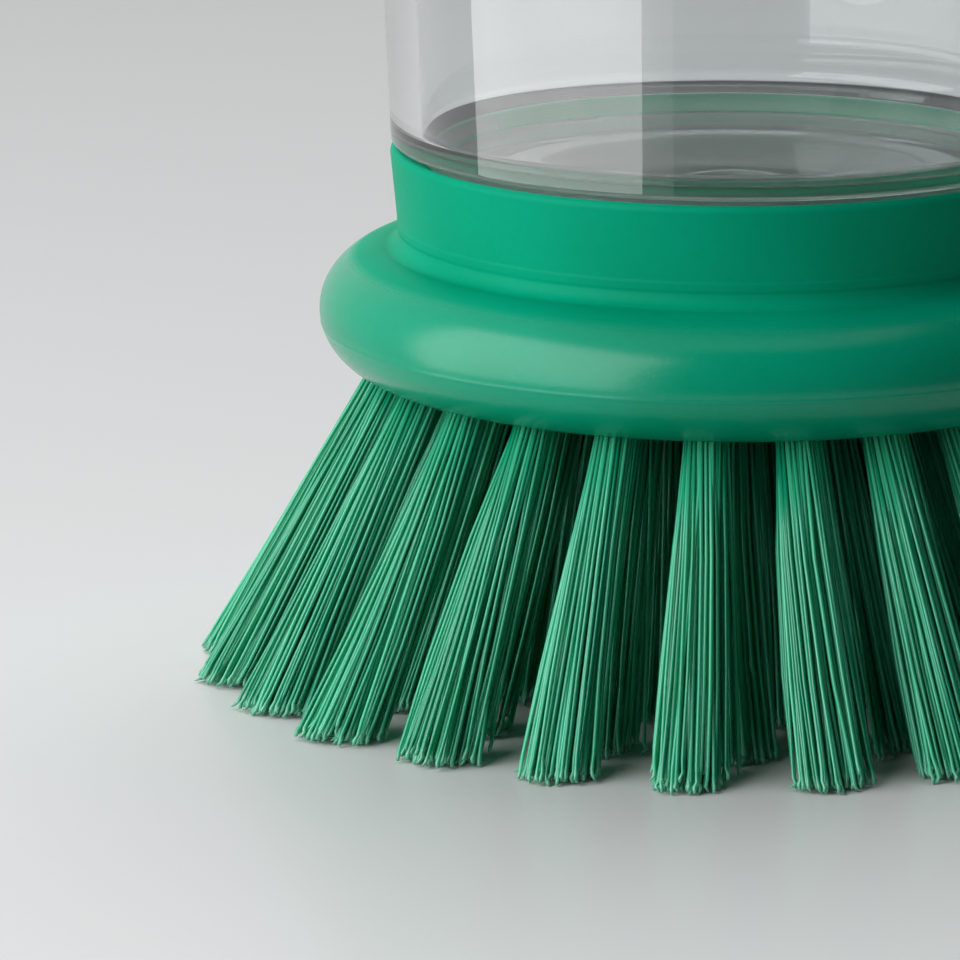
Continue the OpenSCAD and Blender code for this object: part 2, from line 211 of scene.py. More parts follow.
def moulded_polypropylene(name, low, high, spark_mm=0.22, depth_mm=0.012, roughness=(0.4, 0.48), smooth=None):
    """Polypropylene from a spark-eroded mould: satin, with a fine even grain and a slow drift in tone.

    smooth is a height in millimetres below which the mould was polished further, so that its highlights are tighter
    and stronger there.
    """
    made = blank(name)
    spark = grain(made, spark_mm, 3.0)
    # Resin mixes unevenly over about a centimetre, and over the half millimetre that a fine mottle takes
    drift = blend_values(made, grain(made, 11, 1.0), grain(made, 0.6, 2.0), 0.25)
    gloss = span(made, spark, *roughness)
    links = {"Base Color": shades(made, drift, (0.35, low), (0.65, high)), "Normal": relief(made, spark, depth_mm)}
    settings = {"IOR": 1.49, "Specular IOR Level": 0.3}
    if smooth:
        height = object_z(made)
        low_z, high_z = smooth * MM, (smooth + 0.5) * MM
        share = span(made, height, 0.5, 1.0, low_z, high_z)
        gloss = add(made, "ShaderNodeMath", {"operation": "MULTIPLY"}, {0: gloss, 1: share}).outputs[0]
        links["Specular IOR Level"] = span(made, height, 0.38, 0.05, low_z, high_z)
        settings = {"IOR": 1.49}
    shader = add(made, "ShaderNodeBsdfPrincipled", settings, {**links, "Roughness": gloss})
    return surface(made, shader.outputs["BSDF"])


def drawn_filament(name, tip_low, tip_high):
    """Drawn polypropylene filament: smooth, glossy and a little see-through, each strand lighter or darker.

    Its cut end is whitened.
    """
    made = blank(name)
    tone = attribute(made, "tone")
    tips = span(made, attribute(made, "reach"), 0.0, 1.0, CUT_FROM, 1.0)
    strand = shades(made, tone, (0.0, tip_low), (1.0, tip_high))
    cut = add(
        made,
        "ShaderNodeMix",
        {"data_type": "RGBA", COLOUR_B: linear("#86E4C2")},
        {"Factor": tips, COLOUR_A: strand},
    )
    shader = add(
        made,
        "ShaderNodeBsdfPrincipled",
        {"IOR": 1.5, "Specular IOR Level": 0.9},
        {
            "Base Color": cut.outputs[COLOUR_OUT],
            "Roughness": span(made, tone, 0.16, 0.26, 0.0, 1.0),
            "Normal": relief(made, grain(made, 0.5, 1.0), 0.01),
        },
    )
    through = add(made, "ShaderNodeBsdfTranslucent", links={"Color": cut.outputs[COLOUR_OUT]})
    mixed = add(made, "ShaderNodeMixShader", {"Fac": 0.3}, {1: shader.outputs["BSDF"], 2: through.outputs["BSDF"]})
    return surface(made, mixed.outputs["Shader"])


def clear_styrene(name):
    """Styrene acrylonitrile from a polished mould: clear and glossy, with faint flow waves, and hazy at its foot.

    Lamp rays pass through it, so that what stands inside is lit.
    """
    made = blank(name)
    waves = grain(made, 5, 1.0, (1, 1, 0.25))
    foot = (RIM_Z - 0.6) * MM
    glass = add(
        made,
        "ShaderNodeBsdfPrincipled",
        {"Base Color": linear("#F2F5F5"), "Roughness": 0.0, "IOR": 1.57},
        {
            "Transmission Weight": span(made, object_z(made), 0.82, 1.0, foot, foot + 2 * MM),
            "Normal": relief(made, waves, 0.0015),
        },
    )
    through = add(made, "ShaderNodeBsdfTransparent", {"Color": linear("#CED0CF")})
    mixed = add(
        made,
        "ShaderNodeMixShader",
        links={
            "Fac": add(made, "ShaderNodeLightPath").outputs["Is Shadow Ray"],
            1: glass.outputs["BSDF"],
            2: through.outputs["BSDF"],
        },
    )
    return surface(made, mixed.outputs["Shader"])


def moulded_elastomer(name, low, high):
    """Moulded silicone or soft elastomer: matt, slightly see-through at thin edges, dusty in tone."""
    made = blank(name)
    bloom = grain(made, 1.6, 3.0)
    shader = add(
        made,
        "ShaderNodeBsdfPrincipled",
        {"IOR": 1.41, "Subsurface Weight": 0.15, "Subsurface Scale": 0.002},
        {
            "Base Color": shades(made, bloom, (0.35, low), (0.65, high)),
            "Roughness": span(made, bloom, 0.5, 0.62),
            "Normal": relief(made, grain(made, 0.3, 2.0), 0.01),
        },
    )
    return surface(made, shader.outputs["BSDF"])


def drawn_steel(name, stretch):
    """Stainless wire: fine die lines along its length, bright where they lie flat."""
    made = blank(name)
    lines = grain(made, 0.25, 2.0, stretch)
    shader = add(
        made,
        "ShaderNodeBsdfPrincipled",
        {"Metallic": 1.0},
        {
            "Base Color": shades(made, lines, (0.3, "#A9ACAE"), (0.7, "#C9CBCC")),
            "Roughness": span(made, lines, 0.22, 0.36),
            "Normal": relief(made, lines, 0.006),
        },
    )
    return surface(made, shader.outputs["BSDF"])


def finish_of(kind):
    """A material by its short name, made once."""
    makers = {
        "head": lambda: moulded_polypropylene("polypropylene_green_moulded", "#009C76", "#00A37E", smooth=POLISH_Z),
        "lid": lambda: moulded_polypropylene("polypropylene_green_lid", "#009C6F", "#00A376", 0.3, 0.016),
        "filament": lambda: drawn_filament("polypropylene_filament_green", "#00B081", "#5CE6BA"),
        "clear": lambda: clear_styrene("styrene_acrylonitrile_clear"),
        "white": lambda: moulded_polypropylene("polypropylene_natural_moulded", "#E3E4E1", "#ECEDEA"),
        "silicone": lambda: moulded_elastomer("silicone_moulded", "#D2D6D5", "#DFE2E1"),
        "elastomer": lambda: moulded_elastomer("elastomer_green_moulded", "#04694C", "#087555"),
        "anchor": lambda: drawn_steel("steel_anchor_drawn", (1, 1, 0.2)),
        "spring": lambda: drawn_steel("steel_spring_drawn", (0.3, 0.3, 1)),
    }
    if kind not in made_finishes:
        made_finishes[kind] = makers[kind]()
    return made_finishes[kind]


made_finishes = {}


# Shapes


def piece(name, points, faces, kind, body, nodes, slot, attributes=None):
    """A smooth mesh from arrays of points in millimetres and of quads, riding on a body in place of CAD nodes."""
    mesh = bpy.data.meshes.new(name)
    mesh.from_pydata(np.asarray(points) * MM, [], faces if isinstance(faces, list) else faces.tolist())
    mesh.update()
    mesh.polygons.foreach_set("use_smooth", np.ones(len(mesh.polygons), bool))
    for key, values in (attributes or {}).items():
        layer = mesh.attributes.new(key, "FLOAT", "POINT")
        layer.data.foreach_set("value", np.asarray(values, np.float32).ravel())
    mesh.materials.append(finish_of(kind))
    made = bpy.data.objects.new(name, mesh)
    bpy.context.scene.collection.objects.link(made)
    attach(made, body)
    if nodes:
        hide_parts(*nodes)
    return made


def arc(cx, cz, rx, rz, start, end, steps=8):
    """Points of an ellipse's arc about (cx, cz), from one angle to another in degrees."""
    a = np.radians(np.linspace(start, end, steps + 1))
    return np.stack([cx + rx * np.cos(a), cz + rz * np.sin(a)], 1)


def rounded(corners, steps=4):
    """A closed outline of (r, z, radius) corners, each rounded by an arc that touches both of its sides.

    The arc's centre lies on the corner's bisector, radius / sin(half the corner's angle) from the corner.
    """
    c = np.asarray(corners, float)
    out = []
    for here, before, after in zip(c, np.roll(c, 1, 0), np.roll(c, -1, 0)):
        p, radius = here[:2], here[2]
        u, v = before[:2] - p, after[:2] - p
        u, v = u / np.linalg.norm(u), v / np.linalg.norm(v)
        half = math.acos(np.clip(u @ v, -1, 1)) / 2
        if radius <= 0 or half > math.radians(88):
            out.append(p[None])
            continue
        middle = p + (u + v) / np.linalg.norm(u + v) * radius / math.sin(half)
        first, last = p + u * radius / math.tan(half) - middle, p + v * radius / math.tan(half) - middle
        a0, a1 = math.atan2(first[1], first[0]), math.atan2(last[1], last[0])
        turn = (a1 - a0 + math.pi) % TURN - math.pi
        a = a0 + turn * np.linspace(0, 1, steps + 1)
        out.append(middle + radius * np.stack([np.cos(a), np.sin(a)], 1))
    return np.concatenate(out)


def denser(outline, step=1.2, edge=0.06, closed=True):
    """An outline with more points: one close to each end of a long side, so that shading stays flat on it, and
    others evenly between."""
    ends = np.roll(outline, -1, 0) if closed else outline[1:]
    out = []
    for a, b in zip(outline, ends):
        length = float(np.linalg.norm(b - a))
        t = np.array([0.0])
        if length > 4 * edge:
            t = np.concatenate([t, np.linspace(edge / length, 1 - edge / length, max(2, int(length / step) + 2))])
        out.append(a + (b - a) * t[:, None])
    if not closed:
        out.append(outline[-1:])
    return np.concatenate(out)


def turned(outline, sides=288):
    """A closed outline in (r, z), run anticlockwise, carried round Z.

    Point (i, j) is (r cos a, r sin a, z) of outline point j at angle a = i / sides of a turn.
    """
    a = np.arange(sides) * TURN / sides
    r, z = (np.tile(column, (sides, 1)) for column in outline.T)
    points = np.stack([r * np.cos(a)[:, None], r * np.sin(a)[:, None], z], 2).reshape(-1, 3)
    m = len(outline)
    i, j = np.meshgrid(np.arange(sides), np.arange(m), indexing="ij")
    here, there = i * m + j, (i + 1) % sides * m + j
    here_up, there_up = i * m + (j + 1) % m, (i + 1) % sides * m + (j + 1) % m
    return points, np.stack([here, there, there_up, here_up], 2).reshape(-1, 4)


def turned_solid(outline, sides=288):
    """An open outline from the axis back to the axis, carried round Z, with its two poles closed by fans."""
    points, faces = turned(outline[1:-1], sides)
    m = len(outline) - 2
    ring = np.arange(sides) * m
    faces = faces.reshape(sides, m, 4)[:, : m - 1].reshape(-1, 4)
    base = len(points)
    points = np.concatenate([points, [[0, 0, outline[0, 1]], [0, 0, outline[-1, 1]]]])
    following = np.roll(ring, -1)
    low = [[base, int(n), int(h)] for h, n in zip(ring, following)]
    high = [[base + 1, int(h), int(n)] for h, n in zip(ring + m - 1, following + m - 1)]
    return points, faces.tolist() + low + high


def strands(ring_r, count, lean, filaments, settings, seed):
    """All filaments of one ring of tufts as closed five-sided tubes.

    A filament's root and tip take the same place of a sunflower spread, where place i of m lies at sqrt(i / m) of
    the radius and i golden angles round. At the root it fills the tuft's round hole. At the tips it fills an oval
    end, wider across than deep and turned by the twist of the folded tuft. The axis is the straight line between
    the two, plus a bow that grows and falls as 4 t (1 - t), and its last stretch hooks a little aside, as a sawn
    end does. Cut heights differ by strand and by clump. Returns points, faces, tone and reach.
    """
    rng = np.random.default_rng(seed)
    n, m, sides = count, filaments, 5
    # Where the rings of points stand along a filament, and how far each hooks aside and how thick it is
    t = np.array([0.0, 0.35, 0.7, 0.93, 0.97, 0.985, 1.0])
    hooked = np.array([0, 0, 0, 0.1, 0.35, 0.65, 0.8])
    thick = np.array([1, 1, 1, 1, 1.0, 1.15, 0.9])
    half = settings.filament_mm / 2
    angle = np.arange(m) * GOLDEN_ANGLE + rng.uniform(0, TURN, (n, 1))
    rho = np.sqrt((np.arange(m) + 0.5) / m)[None, :]
    slope, upright = math.tan(math.radians(lean)), math.cos(math.radians(lean))
    spread = settings.tip_mm * rng.uniform(0.93, 1.05, (n, 1))
    aside = rng.normal(0, 0.28, (n, 1))
    out_shift = rng.normal(0.35, 0.25, (n, 1))
    hole = settings.hole_mm - half
    root = np.stack([ring_r + rho * np.cos(angle) * hole / upright, rho * np.sin(angle) * hole], 2)
    twist = math.radians(settings.twist_deg)
    wide, deep = rho**0.92 * np.sin(angle) * spread * 1.06, rho**0.92 * np.cos(angle) * spread * 0.84
    # One filament in fourteen has sprung out of line
    loose = rng.normal(0, 1, (n, m, 2)) * np.where(rng.random((n, m, 1)) < 0.07, 0.85, 0.2)
    tip = np.stack(
        [
            ring_r + UNDERSIDE_Z * slope + out_shift + deep * math.cos(twist) - wide * math.sin(twist),
            aside + wide * math.cos(twist) + deep * math.sin(twist),
        ],
        2,
    ) + loose
    tip *= np.minimum(1, settings.reach_mm / np.hypot(tip[..., 0], tip[..., 1]))[..., None]
    clump = 0.16 * np.abs(np.sin(angle * 1.5 + 7 * rho + rng.uniform(0, TURN, (n, 1))))
    cut = np.abs(rng.normal(0, 0.16, (n, m))) + clump
    # One filament in ten was missed by the last trim stroke and is short
    cut = cut + np.where(rng.random((n, m)) < 0.1, rng.uniform(0.2, 1.0, (n, m)), 0)
    top = UNDERSIDE_Z + 0.7
    height = top + (cut[..., None] + 0.02 - top) * t
    share = (UNDERSIDE_Z - height) / UNDERSIDE_Z
    axis = root[:, :, None] + (tip - root)[:, :, None] * share[..., None]
    bow = rng.normal(0, 0.16, (n, m, 1, 2)) + rng.normal(0, 0.14, (n, 1, 1, 2))
    axis = axis + bow * (4 * t * (1 - t))[None, None, :, None]
    axis = axis + rng.normal(0, 0.13, (n, m, len(t), 2)) * hooked[None, None, :, None]
    girth = half * rng.uniform(0.9, 1.08, (n, m, 1)) * thick
    k = np.arange(sides) * TURN / sides
    spin = rng.uniform(0, TURN, (n, m, 1, 1))
    x = axis[..., 0, None] + girth[..., None] * np.cos(k + spin) / upright
    y = axis[..., 1, None] + girth[..., None] * np.sin(k + spin)
    z = height[..., None] + 0 * x
    turn = (np.radians(settings.phase_deg) + np.arange(n) * TURN / n)[:, None, None, None]
    points = np.stack([x * np.cos(turn) - y * np.sin(turn), x * np.sin(turn) + y * np.cos(turn), z], 4)
    rings = len(t)
    base = (np.arange(n * m) * rings * sides)[:, None, None]
    s, c = np.meshgrid(np.arange(rings - 1), np.arange(sides), indexing="ij")
    here = s * sides + c
    beside = s * sides + (c + 1) % sides
    quads = np.stack([here, here + sides, beside + sides, beside], 2)[None] + base[..., None]
    cap = np.arange(sides)[None]
    caps_top = (cap + base[:, :, 0]).tolist()
    caps_low = (cap[:, ::-1] + (rings - 1) * sides + base[:, :, 0]).tolist()
    tone = np.broadcast_to(rng.random((n, m, 1, 1)), (n, m, rings, sides))
    reach = np.broadcast_to(t[None, None, :, None], (n, m, rings, sides))
    return points.reshape(-1, 3), quads.reshape(-1, 4).tolist() + caps_top + caps_low, tone, reach


def coil(mean_r, wire, low_z, high_z, turns, steps=40, sides=12):
    """A wire swept along a helix: the closed end turns climb by less than the wire, and the rest evenly.

    Point (i, j) is (r cos a, r sin a, z + wire/2 sin k) with r = mean_r + wire/2 cos k, at turn a and angle k of
    the wire's section.
    """
    s = np.linspace(0, 1, int(turns * steps) + 1)
    closed = 0.75 / turns
    creep = wire * 0.8
    low, high = low_z + wire / 2, high_z - wire / 2
    climb = np.clip((s - closed) / (1 - 2 * closed), 0, 1)
    z = low + creep + (high - low - 2 * creep) * climb
    z = np.where(s < closed, low + creep * s / closed, z)
    z = np.where(s > 1 - closed, high - creep * (1 - s) / closed, z)
    a, k = TURN * turns * s[:, None], np.arange(sides)[None] * TURN / sides
    r = mean_r + wire / 2 * np.cos(k)
    points = np.stack([r * np.cos(a), r * np.sin(a), z[:, None] + wire / 2 * np.sin(k)], 2)
    i, j = np.meshgrid(np.arange(len(s) - 1), np.arange(sides), indexing="ij")
    here, beside = i * sides + j, i * sides + (j + 1) % sides
    quads = np.stack([here, here + sides, beside + sides, beside], 2).reshape(-1, 4)[:, ::-1]
    last = (len(s) - 1) * sides
    return points.reshape(-1, 3), quads.tolist() + [list(range(sides))[::-1], [last + n for n in range(sides)]]


# Settings


class PalmHeadSettings(bpy.types.PropertyGroup):
    bead_r_mm: FloatProperty(name="Bead radius", description="Middle of the bead's section", default=25.8)
    bead_half_mm: FloatProperty(name="Bead half width", description="Half width of the bead", default=5.6)
    bead_h_mm: FloatProperty(name="Bead height", description="Height of the bead", default=9.7)
    collar_r_mm: FloatProperty(name="Collar radius", description="Radius of the collar at its rim", default=26.0)
    parting_mm: FloatProperty(name="Parting line", description="How far the parting line stands out", default=0.04)
    witness_mm: FloatProperty(name="Witness step", description="Step between two mould plates", default=0.05)


class PalmTuftSettings(bpy.types.PropertyGroup):
    filament_mm: FloatProperty(name="Filament", description="Diameter of a filament", default=0.29)
    hole_mm: FloatProperty(name="Hole radius", description="Radius of a tuft at its root", default=1.78)
    tip_mm: FloatProperty(name="Tip radius", description="Mean radius of a tuft at its tips", default=3.05)
    reach_mm: FloatProperty(name="Reach", description="Furthest that a filament reaches", default=41.1)
    twist_deg: FloatProperty(name="Twist", description="Turn of a tuft's flat side, set by its anchor", default=30)
    phase_deg: FloatProperty(name="First tuft", description="Angle of the first tuft from X", default=9.3)
    outer_filaments: IntProperty(name="Outer", description="Filaments in an outer tuft", default=125, min=20, max=140)
    inner_filaments: IntProperty(name="Inner", description="Filaments in an inner tuft", default=64, min=20, max=120)


class PalmStageSettings(bpy.types.PropertyGroup):
    # Near and far floor colours are painted light: the floor is lighter near the camera and darker behind, as the
    # lamps' falloff would make it
    floor_near: FloatVectorProperty(
        name="Near floor", description="Floor colour near the camera", subtype="COLOR", default=linear("#DEDFE0")[:3]
    )
    floor_far: FloatVectorProperty(
        name="Far floor", description="Floor colour behind", subtype="COLOR", default=linear("#BEBEBF")[:3]
    )
    floor_bounce: FloatVectorProperty(
        name="Floor bounce", description="Floor colour for the light it gives back", subtype="COLOR",
        default=linear("#989C9A")[:3],
    )
    key_strength: FloatProperty(name="Key", description="Radiance of the large soft box", default=3.2)
    back_strength: FloatProperty(name="Back", description="Radiance of the soft box above and behind", default=5.0)
    near_table: FloatProperty(name="Near table", description="Radius that highlights on the brush see", default=0.11)
    fill_strength: FloatProperty(name="Fill", description="Strength of the room's light on the brush", default=0.04)


# Operators


class PALM_OT_head(bpy.types.Operator):
    """Collar, bead and tuft block in one green moulding"""

    bl_idname = "palm.head"
    bl_label = "Build brush head"

    def execute(self, context):
        s = context.scene.palm_head
        bead_z = UNDERSIDE_Z + s.bead_h_mm / 2
        fillet, rim_r, draft = 1.2, 0.5, math.radians(4.5)
        foot_r = s.collar_r_mm - (RIM_Z - bead_z - s.bead_h_mm / 2) * math.tan(draft) + fillet
        foot_a = math.degrees(math.acos((foot_r - s.bead_r_mm) / s.bead_half_mm))
        foot_z = bead_z + s.bead_h_mm / 2 * math.sin(math.radians(foot_a)) + fillet
        bead = arc(s.bead_r_mm, bead_z, s.bead_half_mm, s.bead_h_mm / 2, -89, foot_a, 140)
        parting_z, parting_width = bead_z - 0.9, 0.12
        bead[:, 0] += s.parting_mm * np.exp(-(((bead[:, 1] - parting_z) / parting_width) ** 2))
        collar_low = np.array([foot_r - fillet, foot_z])
        collar_high = np.array([s.collar_r_mm, RIM_Z - rim_r])
        collar = collar_low + (collar_high - collar_low) * np.linspace(0, 1, 60)[1:-1, None]
        witness_z = foot_z + 0.8
        collar[:, 0] += s.witness_mm * (collar[:, 1] < witness_z)
        web_z, well_z = UNDERSIDE_Z + 8.9, UNDERSIDE_Z + 1.6
        inner = rounded(
            [
                (23.5, RIM_Z, 0.35), (23.5, web_z, 0.3), (8.8, web_z, 0.3), (8.8, well_z, 0.15), (6.0, well_z, 0.2),
                (6.0, UNDERSIDE_Z, 0.35), (16.0, UNDERSIDE_Z, 0.0),
            ]
        )
        outline = np.concatenate(
            [
                bead,
                arc(foot_r, foot_z, fillet, fillet, 270, 180, 14),
                collar,
                arc(s.collar_r_mm - rim_r, RIM_Z - rim_r, rim_r, rim_r, 0, 90, 8),
                inner,
            ]
        )
        piece("head_moulding", *turned(denser(outline), 264), "head", "head", ["brush_head"], "head_plastic")
        return {"FINISHED"}


class PALM_OT_tufts(bpy.types.Operator):
    """Three rings of leaning, splayed tufts of drawn filament"""

    bl_idname = "palm.tufts"
    bl_label = "Build tufts"

    def execute(self, context):
        s = context.scene.palm_tufts
        # Name, radius at the head, number of tufts, lean in degrees, filaments in a tuft, seed
        rings = (
            ("outer", 25.6, 24, 28.3, s.outer_filaments, 11),
            ("middle", 19.8, 18, 24.0, s.inner_filaments, 12),
            ("inner", 14.0, 12, 13.0, s.inner_filaments, 13),
        )
        for name, ring_r, count, lean, filaments, seed in rings:
            points, faces, tone, reach = strands(ring_r, count, lean, filaments, s, seed)
            piece(
                f"{name}_tufts", points, faces, "filament", "head", [f"{name}_bristles"], "bristle",
                {"tone": tone, "reach": reach},
            )
        return {"FINISHED"}


class PALM_OT_tank(bpy.types.Operator):
    """Clear reservoir with its dished floor, port, spout, spigot and neck"""

    bl_idname = "palm.tank"
    bl_label = "Build reservoir"

    def execute(self, context):
        foot_z = RIM_Z + 0.3
        floor_z, under_z = foot_z - 3.1, foot_z - 4.9
        spout_z, spigot_z, shoulder_z = under_z - 5, foot_z - 8.2, NECK_TOP_Z - 8
        outline = rounded(
            [
                (3.0, spout_z, 0.2), (5.0, spout_z, 0.4), (5.0, under_z, 0.5), (20.8, under_z, 0.6),
                (20.8, spigot_z, 0.3), (23.2, spigot_z, 0.4), (23.2, foot_z, 0.3), (25.94, foot_z, 0.5),
                (28.104, shoulder_z, 0.5), (27.204, shoulder_z, 0.2), (27.204, NECK_TOP_Z, 0.5),
                (MOUTH_R, NECK_TOP_Z, 0.3), (23.55, foot_z + 1.5, 1.2), (21.4, foot_z - 1.3, 1.2),
                (4.2, floor_z, 0.25), (4.2, floor_z + 0.5, 0.24), (3.0, floor_z + 0.5, 0.24),
            ],
            8,
        )
        points, faces = turned(denser(outline, 1.6), 360)
        piece("reservoir_shell", points, faces, "clear", "tank", ["reservoir"], "clear_plastic")
        return {"FINISHED"}


class PALM_OT_lid(bpy.types.Operator):
    """Domed screw lid, and the washer that it takes along"""

    bl_idname = "palm.lid"
    bl_label = "Build lid"

    def execute(self, context):
        deck_z = NECK_TOP_Z + 1.2
        snap_z, top_z = deck_z - 2.4, deck_z + 6.8
        under = top_z - 2.5
        inner = rounded(
            [
                (13.9, under, 0.25), (17.0, under, 0.2), (17.0, deck_z, 0.3), (19.2, deck_z, 0.1),
                (19.2, snap_z + 0.9, 0.1), (18.7, snap_z + 0.9, 0.08), (18.7, snap_z + 0.5, 0.08),
                (19.2, snap_z, 0.1), (20.6, snap_z, 0.3), (20.6, deck_z, 0.4), (27.504, deck_z, 0.3),
                (27.504, LID_FOOT_Z, 0.3), (29.0, LID_FOOT_Z, 0.0),
            ]
        )
        outline = np.concatenate(
            [
                inner,
                arc(29.304, LID_FOOT_Z + 0.5, 0.5, 0.5, -88, 0, 8),
                arc(14.4, deck_z, 15.404, 6.8, 0, 90, 64),
                arc(14.4, top_z - 0.5, 0.5, 0.5, 91, 180, 8),
            ]
        )
        piece("lid_moulding", *turned(denser(outline), 300), "lid", "cap", ["lid"], "lid_plastic")
        low, high = (node_z("lid_gasket", end) for end in (0, 1))
        outer = float(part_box("lid_gasket")[1][0]) / MM
        washer = rounded([(r, z, 0.25) for r, z in ((MOUTH_R, low), (outer, low), (outer, high), (MOUTH_R, high))])
        # It rides on the pump's body, which follows both the lid's rise and its lift
        piece("lid_washer", *turned(denser(washer), 240), "silicone", "pump", ["lid_gasket"], "silicone")
        return {"FINISHED"}


class PALM_OT_button(bpy.types.Operator):
    """Press button with its stop flange and hollow piston"""

    bl_idname = "palm.button"
    bl_label = "Build button"

    def execute(self, context):
        top = BUTTON_TOP_Z
        flange_top, piston_end = top - 3.5, top - 13
        under = top - 3.3
        body = rounded(
            [
                (4.0, under, 0.0), (9.9, under, 0.6), (9.9, piston_end, 0.2), (11.7, piston_end, 0.4),
                (11.7, piston_end + 0.8, 0.1), (11.0, piston_end + 0.8, 0.05), (11.0, piston_end + 2.4, 0.05),
                (11.7, piston_end + 2.4, 0.1), (11.7, flange_top - 1.5, 0.3), (14.9, flange_top - 1.5, 0.25),
                (14.9, flange_top, 0.25), (13.6, flange_top, 0.2), (13.6, top - 1.4, 0.0),
            ]
        )
        r = np.linspace(12.6, 0, 40)[:, None]
        crown = np.concatenate([r, top - 0.9 * (r / 13.6) ** 2], 1)
        outline = np.concatenate([[[0, under]], body, arc(13.1, top - 1.4, 0.5, 0.5, 4, 70, 6), crown])
        inner = denser(outline, closed=False)
        piece("button_moulding", *turned_solid(inner, 240), "lid", "button", ["push_button"], "lid_plastic")
        return {"FINISHED"}


class PALM_OT_spring(bpy.types.Operator):
    """Return spring, coiled between the heights of the imported spring"""

    bl_idname = "palm.spring"
    bl_label = "Build spring"

    def execute(self, context):
        low, high = (node_z("return_spring", end) for end in (0, 1))
        points, faces = coil(mean_r=9.1, wire=1.0, low_z=low, high_z=high, turns=6)
        made = piece("return_coil", points, faces, "spring", "pump", ["return_spring"], "spring_wire")
        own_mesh(made)
        return {"FINISHED"}


class PALM_OT_carried(bpy.types.Operator):
    """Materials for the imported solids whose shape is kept"""

    bl_idname = "palm.carried"
    bl_label = "Finish carried solids"

    def execute(self, context):
        kinds = {
            "tuft_anchors": "anchor", "slit_valve": "silicone", "valve_ring": "head", "port_gasket": "elastomer",
            "pump_barrel": "white", "piston_ring": "silicone",
        }
        for name, kind in kinds.items():
            mesh = bpy.data.objects[name].data
            mesh.materials.clear()
            mesh.materials.append(finish_of(kind))
        return {"FINISHED"}


def floor_finish(settings):
    """Satin laminate table: pale, with a soft sheen, and with painted light: lighter towards the front and darker
    behind, standing in for the falloff of the lamps' light.

    The rays that see the backdrop find the shown colours. The others find a darker one, the light it gives back.
    """
    made = blank("laminate_pale_satin")
    depth = add(made, "ShaderNodeSeparateXYZ", links={"Vector": object_place(made)}).outputs["Y"]
    near, far = (*settings.floor_near, 1.0), (*settings.floor_far, 1.0)
    # Painted light: the shown colour darkens from the near colour to the far one with depth, standing in for the lamps'
    # falloff
    shown = add(
        made,
        "ShaderNodeMix",
        {"data_type": "RGBA", COLOUR_A: near, COLOUR_B: far},
        {"Factor": span(made, depth, 0.0, 1.0, -0.05, 0.35)},
    )
    colour = add(
        made,
        "ShaderNodeMix",
        {"data_type": "RGBA", COLOUR_A: (*settings.floor_bounce, 1.0)},
        {"Factor": backdrop_rays(made), COLOUR_B: shown.outputs[COLOUR_OUT]},
    )
    shader = add(
        made,
        "ShaderNodeBsdfPrincipled",
        {"IOR": 1.5, "Specular IOR Level": 0.2},
        {
            "Base Color": colour.outputs[COLOUR_OUT],
            "Roughness": span(made, grain(made, 1.0, 2.0), 0.3, 0.305),
        },
    )
    return surface(made, shader.outputs["BSDF"])


def table(name, inner, outer, finish):
    """The floor between two radii; beyond 1.2 m it sweeps up into a backdrop all round.

    Point (i, j) is (r cos a, r sin a, h) at radius r and angle a, where h = (r - 1.2) ** 2 beyond r = 1.2.
    """
    sides, flat_r = 96, 1.2
    a = np.arange(sides) * TURN / sides
    r = np.linspace(inner, outer, 60)
    x, y = r * np.cos(a)[:, None], r * np.sin(a)[:, None]
    z = np.clip(r - flat_r, 0, None) ** 2 + 0 * x
    i, j = np.meshgrid(np.arange(len(a)), np.arange(len(r) - 1), indexing="ij")
    here, there = i * len(r) + j, (i + 1) % len(a) * len(r) + j
    mesh = bpy.data.meshes.new(name)
    quads = np.stack([here, here + 1, there + 1, there], 2).reshape(-1, 4)
    mesh.from_pydata(np.stack([x, y, z], 2).reshape(-1, 3), [], quads.tolist())
    mesh.polygons.foreach_set("use_smooth", np.ones(len(mesh.polygons), bool))
    mesh.materials.append(finish)
    made = bpy.data.objects.new(name, mesh)
    bpy.context.scene.collection.objects.link(made)
    return made


def black_card(start, end, radius, low, high):
    """A dark card curved round the right of the brush, from start to end in degrees, which only highlights see.

    It keeps the pale room out of the bead's shaded side. Point (i, j) is (radius sin a, -radius cos a, z) at angle a
    from the camera's side.
    """
    a = np.radians(np.linspace(start, end, 25))
    ring = np.stack([radius * np.sin(a), -radius * np.cos(a)], 1)
    points = np.concatenate([np.column_stack([ring, np.full(len(a), z)]) for z in (low, high)])
    i = np.arange(len(a) - 1)
    mesh = bpy.data.meshes.new("black_card")
    mesh.from_pydata(points, [], np.stack([i, i + 1, i + 1 + len(a), i + len(a)], 1).tolist())
    paint = blank("card_black_matt")
    fibre = shades(paint, grain(paint, 4.0, 3.0), (0.35, "#0A0A0A"), (0.65, "#141414"))
    shader = add(paint, "ShaderNodeBsdfPrincipled", {"Roughness": 0.9}, {"Base Color": fibre})
    mesh.materials.append(surface(paint, shader.outputs["BSDF"]))
    made = bpy.data.objects.new("black_card", mesh)
    bpy.context.scene.collection.objects.link(made)
    made.visible_camera = made.visible_diffuse = made.visible_transmission = made.visible_shadow = False
    return made


def soft_box(name, centre, aim, size, radiance):
    """A rectangular lamp of one radiance, facing a point. Its power is radiance times area times pi."""
    lamp = bpy.data.lights.new(name, "AREA")
    lamp.shape = "RECTANGLE"
    lamp.size, lamp.size_y = size
    lamp.energy = radiance * size[0] * size[1] * math.pi
    made = bpy.data.objects.new(name, lamp)
    bpy.context.scene.collection.objects.link(made)
    made.location = centre
    back = np.array(centre) - np.array(aim)
    made.rotation_euler = (
        math.acos(back[2] / np.linalg.norm(back)), 0, math.atan2(back[1], back[0]) + math.pi / 2
    )
    made.visible_camera = False
    return made


